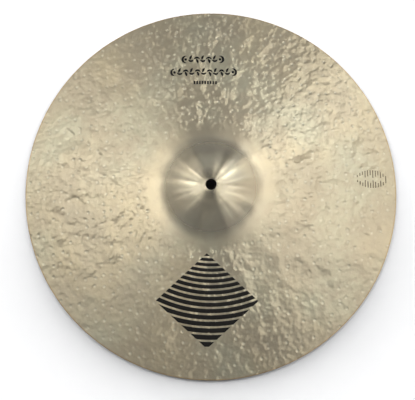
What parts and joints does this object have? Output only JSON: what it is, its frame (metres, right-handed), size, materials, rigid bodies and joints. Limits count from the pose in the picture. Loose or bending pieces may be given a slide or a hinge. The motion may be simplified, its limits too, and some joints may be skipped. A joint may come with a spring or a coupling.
{
  "type": "crash cymbal",
  "caption": "Thin hammered bronze crash cymbal with a domed bell, a gently bowed plate, a centre hole for a stand and dark ornaments printed on its top.",
  "frame": {"origin": "centre of the circle that the rim rests on, under the middle of the stand hole", "axes": "+Z along the hole's axis, up through the bell; +Y from the hole towards the printed vines; +X completes the right hand, so the emblem is towards -Y"},
  "size_m": [0.4572, 0.4572, 0.0457],
  "materials": {
    "bronze": "lathed and hammered bronze with a dull traditional finish",
    "ink": "thin matt black screen-printed ink"
  },
  "bodies": {
    "root": {"cymbal_plate": "bronze", "emblem_print": "ink", "outer_vine_print": "ink", "inner_vine_print": "ink", "tick_row_print": "ink"}
  },
  "joints": []
}
